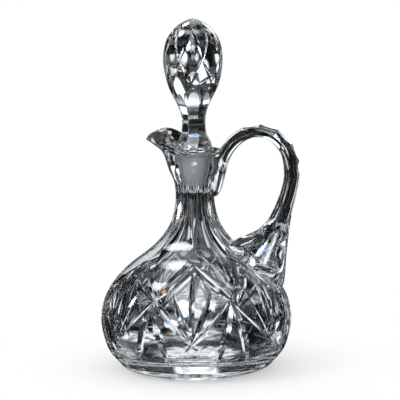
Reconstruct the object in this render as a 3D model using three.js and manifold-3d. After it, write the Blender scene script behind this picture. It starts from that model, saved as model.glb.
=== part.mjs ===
// Cut crystal carafe: a fluted and cut vessel, an applied handle and a loose ground stopper.
// Millimetres, +Z up. The origin is the centre of the base on the standing plane.
// The handle is on the +X side and the pouring spout on the -X side.
import * as THREE from "three";
import Module from "manifold-3d";

const wasm = await Module();
wasm.setup();

const degrees = Math.PI / 180;

// Place between two sizes, by its share of the way from the first to the second
function between(first, second, share) {
  return first + share * (second - first);
}

// Clearance between pieces that touch, and how far a merged point may lie off its surface
const jointGap = 0.3;
const surfaceTolerance = 0.05;

// Body and neck outline: height above the table, then outside radius
const baseFlatRadius = 44;
const ringHeight = 12.5;
const bodyRadius = 68;
const bodyWidestHeight = 36;
const shoulderRadius = bodyRadius - 22.5;
const shoulderHeight = 76.1;
const neckWaistRadius = 14;
const neckWaistHeight = 125;
const rimRadius = 19.9;
const rimHeight = 156.2;
const vesselOutline = [
  [0, baseFlatRadius],
  [between(0, ringHeight, 0.15), between(baseFlatRadius, bodyRadius, 0.26)],
  [between(0, ringHeight, 0.43), between(baseFlatRadius, bodyRadius, 0.465)],
  [ringHeight, between(baseFlatRadius, bodyRadius, 0.725)],
  [between(ringHeight, bodyWidestHeight, 0.38), between(baseFlatRadius, bodyRadius, 0.892)],
  [bodyWidestHeight, bodyRadius],
  [between(bodyWidestHeight, shoulderHeight, 0.365), between(bodyRadius, shoulderRadius, 0.12)],
  [between(bodyWidestHeight, shoulderHeight, 0.575), between(bodyRadius, shoulderRadius, 0.305)],
  [between(bodyWidestHeight, shoulderHeight, 0.785), between(bodyRadius, shoulderRadius, 0.59)],
  [shoulderHeight, shoulderRadius],
  [between(shoulderHeight, neckWaistHeight, 0.185), between(shoulderRadius, neckWaistRadius, 0.38)],
  [between(shoulderHeight, neckWaistHeight, 0.375), between(shoulderRadius, neckWaistRadius, 0.67)],
  [between(shoulderHeight, neckWaistHeight, 0.555), between(shoulderRadius, neckWaistRadius, 0.854)],
  [between(shoulderHeight, neckWaistHeight, 0.735), between(shoulderRadius, neckWaistRadius, 0.949)],
  [neckWaistHeight, neckWaistRadius],
  [between(neckWaistHeight, rimHeight, 0.28), between(neckWaistRadius, rimRadius, 0.185)],
  [between(neckWaistHeight, rimHeight, 0.48), between(neckWaistRadius, rimRadius, 0.51)],
  [between(neckWaistHeight, rimHeight, 0.675), between(neckWaistRadius, rimRadius, 0.85)],
  [rimHeight, rimRadius],
];

// Inside of the vessel: floor, level wall thickness over the height, bore and ground seat
const floorThickness = 9;
const floorRadius = 32;
const bodyWall = 5.2;
const shoulderWall = 6.6;
const neckWall = 8;
const boreRadius = 7.2;
const seatBottomHeight = 133;
const seatTopHeight = 153;
const plugBottomRadius = 6.8;
const plugTopRadius = 9;
const lipThickness = 2.6;
const lipRise = 0.8;
const wallOutline = [
  [floorThickness, 2.4 * bodyWall],
  [between(floorThickness, bodyWidestHeight, 0.11), 1.9 * bodyWall],
  [between(floorThickness, bodyWidestHeight, 0.3), 1.35 * bodyWall],
  [between(floorThickness, bodyWidestHeight, 0.55), 1.08 * bodyWall],
  [bodyWidestHeight, bodyWall],
  [between(bodyWidestHeight, shoulderHeight, 0.45), 1.04 * bodyWall],
  [shoulderHeight, shoulderWall],
  [between(shoulderHeight, neckWaistHeight, 0.39), neckWall],
  [neckWaistHeight, neckWall],
];

// Spout: how far its tip reaches beyond the rim, how high its sides rise and how far they close
const spoutReach = 15.3;
const spoutRise = 14.3;
const spoutPinch = 3.4;
const spoutRootHeight = rimHeight - 19.2;
// Angle from the spout's direction, then the shares of reach, pinch and rise that the lip has there
const spoutLip = [
  [0, 1, 0, 0.5],
  [12, 0.885, 0, 0.71],
  [24, 0.68, 0.38, 0.91],
  [36, 0.45, 0.85, 1],
  [48, 0.27, 1, 0.91],
  [60, 0.12, 0.6, 0.64],
  [75, 0, 0.18, 0.28],
  [90, 0, 0, 0.08],
  [105, 0, 0, 0],
];

// Cut pattern of the body, the same on every panel: lozenge, its legs and the fan inside it
const panels = 7;
const panelAngle = 360 / panels;
const lozengeTopHeight = 81;
const lozengeSideHeight = 59;
const fanHeight = 30.5;
const sideMitreDepth = 1.9;
const legMitreDepth = 1.9;
const legMitreAngle = 11;
const fanMitreDepth = 1.3;
const fanRayAngle = 12.5;
const fanRayHeight = 64;
const fanTailDrop = 6.5;
const fanTailAngle = 4.5;
// Half width of a mitre over its depth, and how far its cutter stands out of the glass
const mitreSpread = 1.25;
const mitreLift = 1.8;

// Neck flutes: one over every side corner of the lozenges, meeting in ridges
const shoulderFluteDepth = 3;
const neckFluteDepth = 2.3;
const fluteEndHeight = shoulderHeight - 6.6;
const fluteTopHeight = rimHeight - 4.2;
const fluteTopBesideSpout = rimHeight - 14;
const fluteTopSlope = 0.3;
const fluteRunOut = 3;
const fluteDepth = [
  [fluteEndHeight - fluteRunOut, -0.7],
  [fluteEndHeight, 0],
  [between(fluteEndHeight, neckWaistHeight, 0.15), 0.53 * shoulderFluteDepth],
  [between(fluteEndHeight, neckWaistHeight, 0.3), shoulderFluteDepth],
  [between(fluteEndHeight, neckWaistHeight, 0.48), shoulderFluteDepth],
  [neckWaistHeight, neckFluteDepth],
  [between(neckWaistHeight, fluteTopHeight, 0.56), 0.95 * neckFluteDepth],
  [fluteTopHeight, 0],
  [fluteTopHeight + fluteRunOut, -0.7],
];

// Star cut under the base, round a polished flat centre
const starRays = 16;
const starCentreRadius = 8;
const starMargin = 5;
const starDepth = 1.5;

// Handle: reach beyond the rim, rise above it, half widths, and the heights the pad covers
const archReach = 56.3;
const archRise = 19.4;
const strapHalfWidth = 6.4;
const footRise = 37;
const padHalfWidth = 15.5;
const padLowHeight = 62;
const padHighHeight = 89;
const notchDepth = 1.3;
const firstNotchStation = 6;
const lastNotchStation = 11;
const padStartStation = 13;
// Stations from the tail on the neck over the arch: outer edge and inner edge, each as shares
// of the reach beyond the rim and of the rise above it, then the share of half the width
const archStations = [
  [-0.14, -1.63, -0.06, -1.65, 0.41],
  [-0.14, -1.3, 0, -1.35, 0.69],
  [-0.12, -0.78, 0.05, -0.81, 0.87],
  [-0.07, -0.27, 0.105, -0.29, 0.94],
  [0.015, 0.175, 0.183, 0.08, 1],
  [0.108, 0.535, 0.265, 0.31, 1],
  [0.279, 0.875, 0.361, 0.475, 1],
  [0.5, 1, 0.496, 0.55, 1],
  [0.734, 0.815, 0.659, 0.37, 1],
  [0.911, 0.33, 0.773, -0.03, 1],
  [0.993, -0.28, 0.808, -0.475, 1],
  [1, -0.835, 0.808, -0.918, 1],
  [0.954, -1.557, 0.751, -1.526, 1.03],
  [0.89, -2.278, 0.648, -2.206, 1.09],
];
// Stations of the flared foot: outer edge from the pad's low end and inner edge from its high
// end, each as shares of the foot's rise, then the share of half the pad's width
const footStations = [
  [0.235, 1, 0.525, 0.385, 0.54],
  [0.187, 0.675, 0.243, 0.216, 0.72],
  [0.149, 0.35, -0.013, 0.097, 0.92],
  [0.1, 0, -0.122, -0.013, 1],
  [-0.062, -0.19, -0.27, -0.243, 0.9],
];
// Section of the handle: place from inner to outer edge, then share of half the width
const strapSection = [
  [0, 0.44],
  [0.1, 0.82],
  [0.34, 0.8],
  [0.6, 1],
  [0.84, 0.8],
  [1, 0.42],
];
const padSection = [
  [0, 0.2],
  [0.12, 0.56],
  [0.34, 0.88],
  [0.6, 1],
  [0.84, 0.8],
  [1, 0.38],
];
const notchedPoints = 2;

// Stopper: sizes, then its outline as height above the plug's top and radius
const plugStandOut = 1;
const plugTopHeight = seatTopHeight + plugStandOut;
const plugBottomHeight = seatBottomHeight;
const plugChamfer = 0.7;
const collarRadius = 12.6;
const collarRise = 12;
const waistRadius = 9.1;
const waistRise = 23;
const headRadius = 21.1;
const headWidestRise = 67;
const stopperRise = 96;
const stopperOutline = [
  [0, plugTopRadius],
  [between(0, collarRise, 0.12), between(plugTopRadius, collarRadius, 0.28)],
  [between(0, collarRise, 0.22), between(plugTopRadius, collarRadius, 0.83)],
  [between(0, collarRise, 0.46), collarRadius],
  [between(0, collarRise, 0.75), between(collarRadius, waistRadius, 0.11)],
  [collarRise, between(collarRadius, waistRadius, 0.49)],
  [between(collarRise, waistRise, 0.36), between(collarRadius, waistRadius, 0.86)],
  [waistRise, waistRadius],
  [between(waistRise, headWidestRise, 0.14), between(waistRadius, headRadius, 0.06)],
  [between(waistRise, headWidestRise, 0.295), between(waistRadius, headRadius, 0.267)],
  [between(waistRise, headWidestRise, 0.475), between(waistRadius, headRadius, 0.575)],
  [between(waistRise, headWidestRise, 0.66), between(waistRadius, headRadius, 0.8)],
  [between(waistRise, headWidestRise, 0.82), between(waistRadius, headRadius, 0.933)],
  [headWidestRise, headRadius],
  [between(headWidestRise, stopperRise, 0.24), 0.976 * headRadius],
  [between(headWidestRise, stopperRise, 0.45), 0.9 * headRadius],
  [between(headWidestRise, stopperRise, 0.62), 0.777 * headRadius],
  [between(headWidestRise, stopperRise, 0.776), 0.597 * headRadius],
  [between(headWidestRise, stopperRise, 0.897), 0.37 * headRadius],
  [between(headWidestRise, stopperRise, 0.972), 0.16 * headRadius],
];

// Ground sides of the stopper: height above the plug's top, then distance from the axis
const stopperSides = 8;
const stopperTurn = 12;
const stopperSideAngle = 360 / stopperSides;
const sidesStandOut = 2;
const waistSides = [
  [plugBottomHeight - plugTopHeight - sidesStandOut, collarRadius + sidesStandOut],
  [between(0, collarRise, 0.25), 0.984 * collarRadius],
  [between(0, collarRise, 0.67), 0.96 * collarRadius],
  [between(collarRise, waistRise, 0.05), 1.055 * waistRadius],
  [between(collarRise, waistRise, 0.455), 0.934 * waistRadius],
  [waistRise, 0.89 * waistRadius],
  [between(waistRise, headWidestRise, 0.136), 0.967 * waistRadius],
  [between(waistRise, headWidestRise, 0.295), 0.536 * headRadius],
  [between(waistRise, headWidestRise, 0.455), 0.711 * headRadius],
  [between(waistRise, headWidestRise, 0.636), 0.896 * headRadius],
  [between(waistRise, headWidestRise, 0.795), 1.09 * headRadius],
  [stopperRise + sidesStandOut, 1.23 * headRadius],
];

// Cut pattern of the stopper's head: heights above the plug's top
const headTop = between(headWidestRise, stopperRise, 0.88);
const headSide = headWidestRise + 1;
const headBottom = between(waistRise, headWidestRise, 0.65);
const headRayTop = between(headWidestRise, stopperRise, 0.59);
const headMitreDepth = 0.95;

// Smooth curve through the given points, read as value over height
function curveThrough(points) {
  const slopes = points.map((point, i) => {
    const before = points[Math.max(i - 1, 0)];
    const after = points[Math.min(i + 1, points.length - 1)];
    return (after[1] - before[1]) / (after[0] - before[0]);
  });
  return (at) => {
    let i = 0;
    while (i < points.length - 2 && at > points[i + 1][0]) i += 1;
    const width = points[i + 1][0] - points[i][0];
    const t = Math.min(Math.max((at - points[i][0]) / width, 0), 1);
    const rise = points[i + 1][1] - points[i][1];
    const a = slopes[i] * width - rise;
    const b = -slopes[i + 1] * width + rise;
    return points[i][1] + t * rise + t * (1 - t) * (a * (1 - t) + b * t);
  };
}

const vesselRadius = curveThrough(vesselOutline);
const wallAt = curveThrough(wallOutline);
const stopperRadiusAt = curveThrough(stopperOutline);
const stopperRadius = (height) => stopperRadiusAt(height - plugTopHeight);
const fluteDepthAt = curveThrough(fluteDepth);
const waistSideAt = curveThrough(waistSides);

// Heights for the rings of a surface: those of its outline, and one between two that lie apart
function ringHeights(outline, from, to, apart) {
  const heights = [];
  outline.forEach((point, i) => {
    heights.push(point[0]);
    const next = outline[i + 1];
    if (next && next[0] - point[0] > apart) heights.push((point[0] + next[0]) / 2);
  });
  return heights.filter((height) => height > from && height < to);
}

// Closed solid from stacked rings of points, closed at both ends by a fan to the middle
function solidFromRings(rings) {
  const count = rings[0].length;
  const points = rings.flat();
  const triangles = [];
  for (let row = 0; row < rings.length - 1; row += 1) {
    for (let i = 0; i < count; i += 1) {
      const a = row * count + i;
      const b = row * count + ((i + 1) % count);
      triangles.push(a, b, b + count, a, b + count, a + count);
    }
  }
  const first = new THREE.Vector3();
  rings[0].forEach((p) => first.addScaledVector(p, 1 / count));
  const last = new THREE.Vector3();
  rings[rings.length - 1].forEach((p) => last.addScaledVector(p, 1 / count));
  const firstIndex = points.push(first) - 1;
  const lastIndex = points.push(last) - 1;
  const lastStart = (rings.length - 1) * count;
  for (let i = 0; i < count; i += 1) {
    const next = (i + 1) % count;
    triangles.push(firstIndex, next, i);
    triangles.push(lastIndex, lastStart + i, lastStart + next);
  }
  return solidFromTriangles(points, triangles);
}

// Solid from points and triangles, turned so that its faces look outward
function solidFromTriangles(points, triangles) {
  let volume = 0;
  for (let i = 0; i < triangles.length; i += 3) {
    const [a, b, c] = [points[triangles[i]], points[triangles[i + 1]], points[triangles[i + 2]]];
    volume += a.dot(new THREE.Vector3().crossVectors(b, c)) / 6;
  }
  const facing = volume < 0 ? triangles.slice().reverse() : triangles;
  const vertProperties = new Float32Array(points.flatMap((p) => [p.x, p.y, p.z]));
  const triVerts = new Uint32Array(facing);
  return new wasm.Manifold(new wasm.Mesh({ numProp: 3, vertProperties, triVerts }));
}

function polar(radius, angle, height) {
  return new THREE.Vector3(
    radius * Math.cos(angle * degrees),
    radius * Math.sin(angle * degrees),
    height,
  );
}

// Point and outward direction of a round surface at an angle and a height
function onSurface(radiusAt, angle, height) {
  const step = 0.2;
  const slope = (radiusAt(height + step) - radiusAt(height - step)) / (2 * step);
  const normal = polar(1, angle, -slope).normalize();
  return { point: polar(radiusAt(height), angle, height), normal };
}

// V-shaped cutter along a line on a round surface, deepest in the middle and running out
function mitreCutter(radiusAt, from, to, depth, steps) {
  const stations = [];
  for (let i = 0; i <= steps; i += 1) {
    const t = i / steps;
    const angle = from[0] + t * (to[0] - from[0]);
    const height = from[1] + t * (to[1] - from[1]);
    stations.push({ ...onSurface(radiusAt, angle, height), t });
  }
  const rings = stations.map((station, i) => {
    const before = stations[Math.max(i - 1, 0)].point;
    const after = stations[Math.min(i + 1, steps)].point;
    const along = after.clone().sub(before).normalize();
    const across = new THREE.Vector3().crossVectors(along, station.normal).normalize();
    const here = depth * Math.pow(Math.sin(Math.PI * (0.03 + 0.94 * station.t)), 0.6);
    const half = (here + mitreLift) * mitreSpread;
    const raised = station.point.clone().addScaledVector(station.normal, mitreLift);
    return [
      station.point.clone().addScaledVector(station.normal, -here),
      raised.clone().addScaledVector(across, half),
      raised.clone().addScaledVector(across, -half),
    ];
  });
  return solidFromRings(rings);
}

// Angle of a direction from the direction of the spout, without its sign
function fromSpout(angle) {
  const turned = ((angle % 360) + 360) % 360;
  return Math.abs(turned - 180);
}

const lipShares = [1, 2, 3].map((column) => curveThrough(spoutLip.map((p) => [p[0], p[column]])));

// Outer edge of the lip: the round rim, drawn out, closed in and raised toward the spout
function lipPoint(angle) {
  const [reach, pinch, rise] = lipShares.map((share) => share(fromSpout(angle)));
  const point = polar(rimRadius, angle, rimHeight + spoutRise * rise);
  point.x -= spoutReach * reach;
  point.y -= Math.sign(point.y) * spoutPinch * pinch;
  return point;
}

// Inner edge of the lip: the outer edge moved in by the lip's thickness
function innerLipPoint(angle) {
  const step = 1;
  const along = lipPoint(angle + step).sub(lipPoint(angle - step));
  const inward = new THREE.Vector3(-along.y, along.x, 0).normalize();
  return lipPoint(angle).addScaledVector(inward, lipThickness);
}

// How sharply the wall turns out into the lip: sharp under the spout, soft beside it
function sweep(angle, sharp, soft) {
  const crestAngle = 36;
  const t = Math.min(fromSpout(angle) / crestAngle, 1);
  return sharp + (soft - sharp) * t * t * (3 - 2 * t);
}

const columnsPerPanel = 8;
const columns = panels * columnsPerPanel;
const angles = Array.from({ length: columns }, (_, i) => (i * 360) / columns);

function ring(radius, height) {
  return angles.map((angle) => polar(radius, angle, height));
}

// Ring moved along with the wall that is drawn out to the lip, by a share of the whole way
function drawnOut(points, edge, round, share, sharp, soft) {
  return points.map((point, i) => {
    const shift = edge(angles[i]).sub(polar(round, angles[i], rimHeight));
    return point.addScaledVector(shift, Math.pow(share, sweep(angles[i], sharp, soft)));
  });
}

// Outside rings from the base to the lip; grow moves them out for a cutter with a gap
function outsideRings(grow) {
  const rings = [ring(baseFlatRadius, -grow)];
  ringHeights(vesselOutline, 0, spoutRootHeight, 5).forEach((height) => {
    rings.push(ring(vesselRadius(height) + grow, height));
  });
  const shares = [0, 0.25, 0.45, 0.6, 0.72, 0.81, 0.88, 0.94, 1];
  shares.forEach((share) => {
    const height = spoutRootHeight + share * (rimHeight - spoutRootHeight);
    const base = ring(vesselRadius(height) + grow, height);
    rings.push(drawnOut(base, lipPoint, rimRadius, share, 11, 4));
  });
  return rings;
}

// Inside radius of the body and neck below the stopper's seat
function cavityRadius(height) {
  return Math.max(boreRadius, vesselRadius(height) - wallAt(height));
}

// Inside rings from the lip down to the middle of the floor
function insideRings() {
  const rings = [];
  const seatRadius = plugTopRadius + jointGap;
  const mouthRadius = rimRadius - lipThickness;
  const shares = [1, 0.8, 0.6, 0.4, 0.2, 0];
  shares.forEach((share) => {
    const radius = seatRadius + share * (mouthRadius - seatRadius);
    const height = seatTopHeight + Math.pow(share, 1.3) * (rimHeight - seatTopHeight);
    rings.push(drawnOut(ring(radius, height), innerLipPoint, mouthRadius, share, 2, 2.6));
  });
  rings.push(ring(plugBottomRadius + jointGap, seatBottomHeight));
  const steps = 13;
  for (let i = 0; i <= steps; i += 1) {
    const share = i / steps;
    const top = neckWaistHeight - 4;
    const height = top + share * (floorThickness - top);
    rings.push(ring(cavityRadius(height), height));
  }
  rings.splice(rings.length - 1, 0, ring(cavityRadius(floorThickness + 3), floorThickness + 3));
  rings.push(ring(floorRadius, floorThickness));
  return rings;
}

// Rounded top of the lip, half-way between its outer and inner edge
function lipRing(grow) {
  return angles.map((angle) => {
    const middle = lipPoint(angle).lerp(innerLipPoint(angle), 0.5);
    return middle.setZ(middle.z + lipRise + grow);
  });
}

function vesselBlank() {
  return solidFromRings([...outsideRings(0), lipRing(0), ...insideRings()]);
}

// Cutter for one neck flute: a round groove that widens over the shoulder and runs out
function fluteCutter(angle, grow) {
  const low = fluteEndHeight - fluteRunOut;
  const top = fromSpout(angle) < panelAngle ? fluteTopBesideSpout : fluteTopHeight;
  const high = top + fluteRunOut;
  const heights = [low, ...ringHeights(fluteDepth, low, high - 1, 4.5), high];
  const halfAngle = (panelAngle / 2 - 0.4) * degrees;
  const leastChord = 0.45;
  const largestRadius = 90;
  const standOut = 1.2;
  const steps = 4;
  const rings = heights.map((height) => {
    const outer = vesselRadius(height) + grow;
    const floor = outer - Math.min(fluteDepthAt(height), (top - height) * fluteTopSlope);
    const chord = Math.max(outer * Math.cos(halfAngle) - floor, leastChord);
    const between = outer * outer + floor * floor - 2 * outer * floor * Math.cos(halfAngle);
    const radius = Math.min(between / (2 * chord), largestRadius);
    const reach = Math.acos(Math.max((floor + radius - outer - standOut) / radius, 0));
    const arc = [];
    for (let i = -steps; i <= steps; i += 1) {
      const turn = (i / steps) * reach;
      const x = floor + radius * (1 - Math.cos(turn));
      arc.push(new THREE.Vector3(x, radius * Math.sin(turn), height));
    }
    return arc;
  });
  return solidFromRings(rings).rotate([0, 0, angle]);
}

// Mitres of one panel: lozenge sides, the legs below its corners and the fan inside it
function panelCutters(middle) {
  const cutters = [];
  const half = panelAngle / 2;
  const top = [middle, lozengeTopHeight];
  const fan = [middle, fanHeight];
  const centreRayEnd = [middle, lozengeTopHeight - 4];
  cutters.push(mitreCutter(vesselRadius, fan, centreRayEnd, fanMitreDepth, 6));
  [-1, 1].forEach((side) => {
    const corner = [middle + side * half, lozengeSideHeight];
    const leg = [middle + side * (half - legMitreAngle), ringHeight];
    const ray = [middle + side * fanRayAngle, fanRayHeight];
    const tail = [middle - side * fanTailAngle, fanHeight - fanTailDrop];
    cutters.push(mitreCutter(vesselRadius, top, corner, sideMitreDepth, 5));
    cutters.push(mitreCutter(vesselRadius, corner, leg, legMitreDepth, 5));
    cutters.push(mitreCutter(vesselRadius, fan, ray, fanMitreDepth, 4));
    cutters.push(mitreCutter(vesselRadius, tail, corner, fanMitreDepth, 5));
  });
  return cutters;
}

// One ray of the star: a V cut, deepest in the outer part and running out at both ends
function starCutter(angle) {
  const spread = (starDepth + mitreLift) * mitreSpread;
  const outerRadius = baseFlatRadius - starMargin;
  const deepestRadius = starCentreRadius + 0.6 * (outerRadius - starCentreRadius);
  const section = (radius, share) => {
    const half = spread * (0.3 + 0.7 * share);
    return [
      new THREE.Vector3(radius, 0, share * starDepth),
      new THREE.Vector3(radius, half, -mitreLift),
      new THREE.Vector3(radius, -half, -mitreLift),
    ];
  };
  const ends = 0.06;
  const rings = [
    section(starCentreRadius, ends),
    section(deepestRadius, 1),
    section(outerRadius, ends),
  ];
  return solidFromRings(rings).rotate([0, 0, angle]);
}

// Takes all cutters away in one go and leaves out points closer than the tolerance to a flat
function cutAll(blank, cutters) {
  return blank.subtract(wasm.Manifold.union(cutters)).asOriginal().simplify(surfaceTolerance);
}

function fluteCutters(grow) {
  return Array.from({ length: panels }, (_, i) => fluteCutter(i * panelAngle, grow));
}

function makeVessel() {
  const cutters = fluteCutters(0);
  for (let i = 0; i < panels; i += 1) {
    cutters.push(...panelCutters((i + 0.5) * panelAngle));
  }
  for (let i = 0; i < starRays; i += 1) {
    cutters.push(starCutter((i * 360) / starRays));
  }
  return cutAll(vesselBlank(), cutters);
}

// All stations of the handle in real places: the arch from the rim, the foot from the shoulder
const handleStations = [
  ...archStations.map(([outerX, outerZ, innerX, innerZ, half]) => [
    rimRadius + outerX * archReach,
    rimHeight + outerZ * archRise,
    rimRadius + innerX * archReach,
    rimHeight + innerZ * archRise,
    half * strapHalfWidth,
  ]),
  ...footStations.map(([outerX, outerZ, innerX, innerZ, half]) => [
    vesselRadius(padLowHeight) + outerX * footRise,
    padLowHeight + outerZ * footRise,
    vesselRadius(padHighHeight) + innerX * footRise,
    padHighHeight + innerZ * footRise,
    half * padHalfWidth,
  ]),
];
const lastStation = handleStations.length - 1;
const stationCurves = [0, 1, 2, 3, 4].map((column) =>
  curveThrough(handleStations.map((station, i) => [i, station[column]])));

// One section of the handle between its outer and inner edge
function handleSection(place) {
  const [outerX, outerZ, innerX, innerZ, half] = stationCurves.map((curve) => curve(place));
  const outer = new THREE.Vector3(outerX, 0, outerZ);
  const inner = new THREE.Vector3(innerX, 0, innerZ);
  const padShare = Math.max((place - padStartStation) / (lastStation - padStartStation), 0);
  const inNotch = place > firstNotchStation && place < lastNotchStation;
  const share = place - Math.floor(place);
  const deep = inNotch ? 4 * share * (1 - share) * notchDepth : 0;
  const notch = deep / outer.distanceTo(inner);
  const right = strapSection.map((strap, i) => {
    const pad = padSection[i];
    const wide = strap[1] + padShare * (pad[1] - strap[1]);
    const along = strap[0] + padShare * (pad[0] - strap[0]);
    const notched = i >= strapSection.length - notchedPoints;
    return inner.clone().lerp(outer, notched ? along - notch : along).setY(wide * half);
  });
  const left = right.slice().reverse().map((p) => p.clone().setY(-p.y));
  return [...right, ...left];
}

function makeHandle() {
  const rings = [];
  const perStation = 4;
  for (let i = 0; i <= lastStation * perStation; i += 1) {
    rings.push(handleSection(i / perStation));
  }
  const strap = solidFromRings(rings);
  const seat = solidFromRings([...outsideRings(jointGap), lipRing(jointGap)]);
  const handle = strap.subtract(cutAll(seat, fluteCutters(jointGap)));
  return handle.asOriginal().simplify(surfaceTolerance);
}

// Mitres of the stopper's head: a ring of lozenges with one ray in each
function headCutters() {
  const cutters = [];
  for (let i = 0; i < stopperSides; i += 1) {
    const middle = i * stopperSideAngle + stopperTurn;
    const top = [middle, plugTopHeight + headTop];
    const bottom = [middle, plugTopHeight + headBottom];
    const ray = [middle, plugTopHeight + headRayTop];
    cutters.push(mitreCutter(stopperRadius, bottom, ray, headMitreDepth, 4));
    [-1, 1].forEach((side) => {
      const corner = [middle + (side * stopperSideAngle) / 2, plugTopHeight + headSide];
      cutters.push(mitreCutter(stopperRadius, top, corner, headMitreDepth, 4));
      cutters.push(mitreCutter(stopperRadius, corner, bottom, headMitreDepth, 3));
    });
  }
  return cutters;
}

function makeStopper() {
  const around = stopperSides * 4;
  const full = 360 / around;
  const circle = (radius, height) =>
    Array.from({ length: around }, (_, i) => polar(radius, i * full + stopperTurn, height));
  const rings = [circle(plugBottomRadius - plugChamfer, plugBottomHeight)];
  rings.push(circle(plugBottomRadius, plugBottomHeight + plugChamfer));
  ringHeights(stopperOutline, -1, stopperRise, 9).forEach((rise) => {
    rings.push(circle(stopperRadiusAt(rise), plugTopHeight + rise));
  });
  rings.push(circle(0.6, plugTopHeight + stopperRise));
  const round = solidFromRings(rings);
  const toCorner = 1 / Math.cos((stopperSideAngle / 2) * degrees);
  const sides = waistSides.map(([rise, distance]) =>
    Array.from({ length: stopperSides }, (_, i) => {
      const corner = (i + 0.5) * stopperSideAngle + stopperTurn;
      return polar(distance * toCorner, corner, plugTopHeight + rise);
    }));
  const blank = round.intersect(solidFromRings(sides));
  return cutAll(blank, headCutters());
}

function meshOf(solid, name, colour) {
  const mesh = solid.getMesh();
  const geometry = new THREE.BufferGeometry();
  geometry.setAttribute("position", new THREE.BufferAttribute(mesh.vertProperties, 3));
  geometry.setIndex(new THREE.BufferAttribute(mesh.triVerts, 1));
  geometry.computeVertexNormals();
  const material = new THREE.MeshStandardMaterial({ color: colour, roughness: 0.05 });
  const part = new THREE.Mesh(geometry, material);
  part.name = name;
  return part;
}

const carafe = new THREE.Group();
carafe.name = "carafe";
carafe.add(meshOf(makeVessel(), "vessel", "#dfe6e8"));
carafe.add(meshOf(makeHandle(), "handle", "#d5dde0"));
carafe.add(meshOf(makeStopper(), "stopper", "#e6ebec"));

export default carafe;
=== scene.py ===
import math

import bpy
import numpy as np
from mathutils import Matrix, Vector


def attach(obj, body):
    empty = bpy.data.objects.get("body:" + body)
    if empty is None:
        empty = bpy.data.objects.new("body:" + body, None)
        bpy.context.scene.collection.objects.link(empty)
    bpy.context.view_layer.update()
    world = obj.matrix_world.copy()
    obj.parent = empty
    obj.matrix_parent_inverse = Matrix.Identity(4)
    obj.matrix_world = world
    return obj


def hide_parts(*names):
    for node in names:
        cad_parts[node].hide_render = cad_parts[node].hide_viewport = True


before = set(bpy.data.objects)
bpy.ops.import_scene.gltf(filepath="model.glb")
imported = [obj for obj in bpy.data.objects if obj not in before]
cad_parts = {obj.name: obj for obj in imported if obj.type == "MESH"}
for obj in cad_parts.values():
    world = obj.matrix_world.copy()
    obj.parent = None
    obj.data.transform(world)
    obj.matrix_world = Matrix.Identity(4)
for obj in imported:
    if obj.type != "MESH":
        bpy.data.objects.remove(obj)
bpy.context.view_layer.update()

MM = 0.001

# Sizes in millimetres, the same as the solids have: the outline of the vessel
BASE_FLAT = 44.0
RING_Z = 12.5
BODY_R, BODY_Z = 68.0, 36.0
SHOULDER_R, SHOULDER_Z = 45.5, 76.1
WAIST_R, WAIST_Z = 14.0, 125.0
RIM_R, RIM_Z = 19.9, 156.2

# The inside of the vessel and the seat of the stopper
FLOOR_Z, FLOOR_DIP = 9.0, 0.35
BODY_WALL, SHOULDER_WALL, NECK_WALL = 5.2, 6.6, 8.0
BORE_R = 7.2
SEAT_LOW, SEAT_TOP = 133.0, 153.0
PLUG_LOW_R, PLUG_TOP_R, GAP = 6.8, 9.0, 0.3
LIP_WALL, LIP_RISE = 2.6, 0.8

# The pouring lip
SPOUT_REACH, SPOUT_RISE, SPOUT_PINCH = 15.3, 14.3, 3.4
SPOUT_ROOT = RIM_Z - 19.2

# The cut panels round the body, and the neck flutes over them
PANELS = 7
PANEL = 360.0 / PANELS
HALF_PANEL = PANEL / 2
FLUTE_END, FLUTE_TOP, FLUTE_RUN = SHOULDER_Z - 6.6, RIM_Z - 4.2, 3.0
SPOUT_FLUTE_TOP = RIM_Z - 14.0

# How fine the vessel's surface is: columns round it, and steps up its outside and inside
COLUMNS = PANELS * 32
AROUND = np.arange(COLUMNS) * 360.0 / COLUMNS
OUTSIDE_STEP, INSIDE_STEP = 1.35, 2.2


def mix(a, b, t):
    return a + t * (b - a)


def ease(t):
    """From 0 to 1, level at both ends."""
    return t * t * (3 - 2 * t)


def ramp(t, start, length):
    """0 up to the start, then steadily up to 1 over the length."""
    return np.clip((t - start) / length, 0, 1)


def spline(points, flat_ends=False):
    """Natural cubic through the points (x, y); flat_ends makes it level at both ends instead."""
    x, y = np.array(points, float).T
    h = np.diff(x)
    n = len(x)
    a, b = np.zeros((n, n)), np.zeros(n)
    a[0, 0] = a[-1, -1] = 1.0
    for i in range(1, n - 1):
        a[i, i - 1:i + 2] = h[i - 1], 2 * (h[i - 1] + h[i]), h[i]
        b[i] = 6 * ((y[i + 1] - y[i]) / h[i] - (y[i] - y[i - 1]) / h[i - 1])
    if flat_ends:
        a[0, :2] = 2 * h[0], h[0]
        b[0] = 6 * (y[1] - y[0]) / h[0]
        a[-1, -2:] = h[-1], 2 * h[-1]
        b[-1] = -6 * (y[-1] - y[-2]) / h[-1]
    m = np.linalg.solve(a, b)

    def at(q):
        q = np.clip(np.asarray(q, float), x[0], x[-1])
        i = np.clip(np.searchsorted(x, q) - 1, 0, n - 2)
        u, v, w = x[i + 1] - q, q - x[i], h[i]
        return ((m[i] * u**3 + m[i + 1] * v**3) / (6 * w)
                + (y[i] / w - m[i] * w / 6) * u + (y[i + 1] / w - m[i + 1] * w / 6) * v)

    return at


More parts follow.
